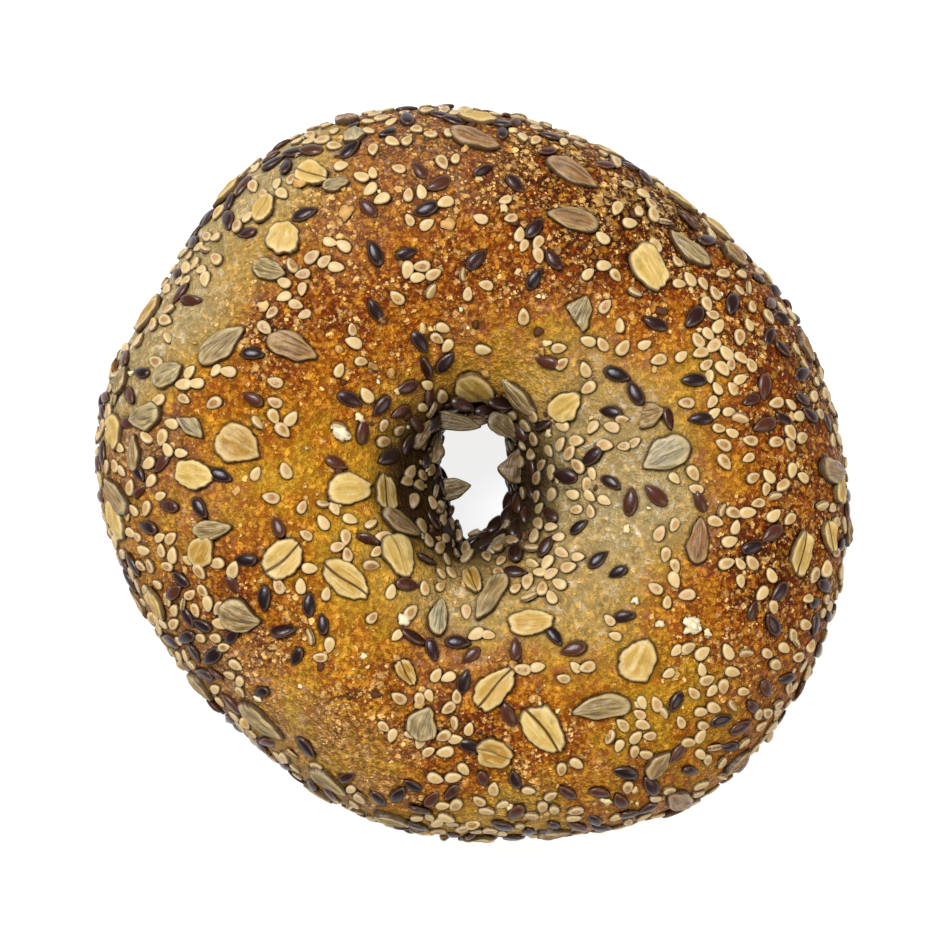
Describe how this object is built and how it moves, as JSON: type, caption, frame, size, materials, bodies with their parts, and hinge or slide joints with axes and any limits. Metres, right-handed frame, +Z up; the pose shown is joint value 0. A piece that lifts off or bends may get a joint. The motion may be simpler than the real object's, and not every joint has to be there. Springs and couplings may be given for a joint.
{
  "type": "bagel",
  "caption": "Round multigrain bread ring with a small central hole, baked crust, and oat flakes, sunflower kernels, flax and sesame seeds baked on.",
  "frame": {"origin": "on the flat base the bagel rests on, under the middle of its outline", "axes": "+Z up out of the crown, along the hole; +Y towards the top of the picture; +X towards its right"},
  "size_m": [0.1162, 0.1136, 0.0393],
  "materials": {
    "crust": "golden-brown baked crust, satin, mottled",
    "sesame": "toasted sesame seed, dry satin",
    "flax": "brown flax seed, glossy",
    "oat": "toasted rolled oat flake, dry",
    "sunflower": "toasted sunflower kernel, dry, faintly ribbed"
  },
  "bodies": {
    "root": {"bagel": "crust"}
  },
  "joints": []
}
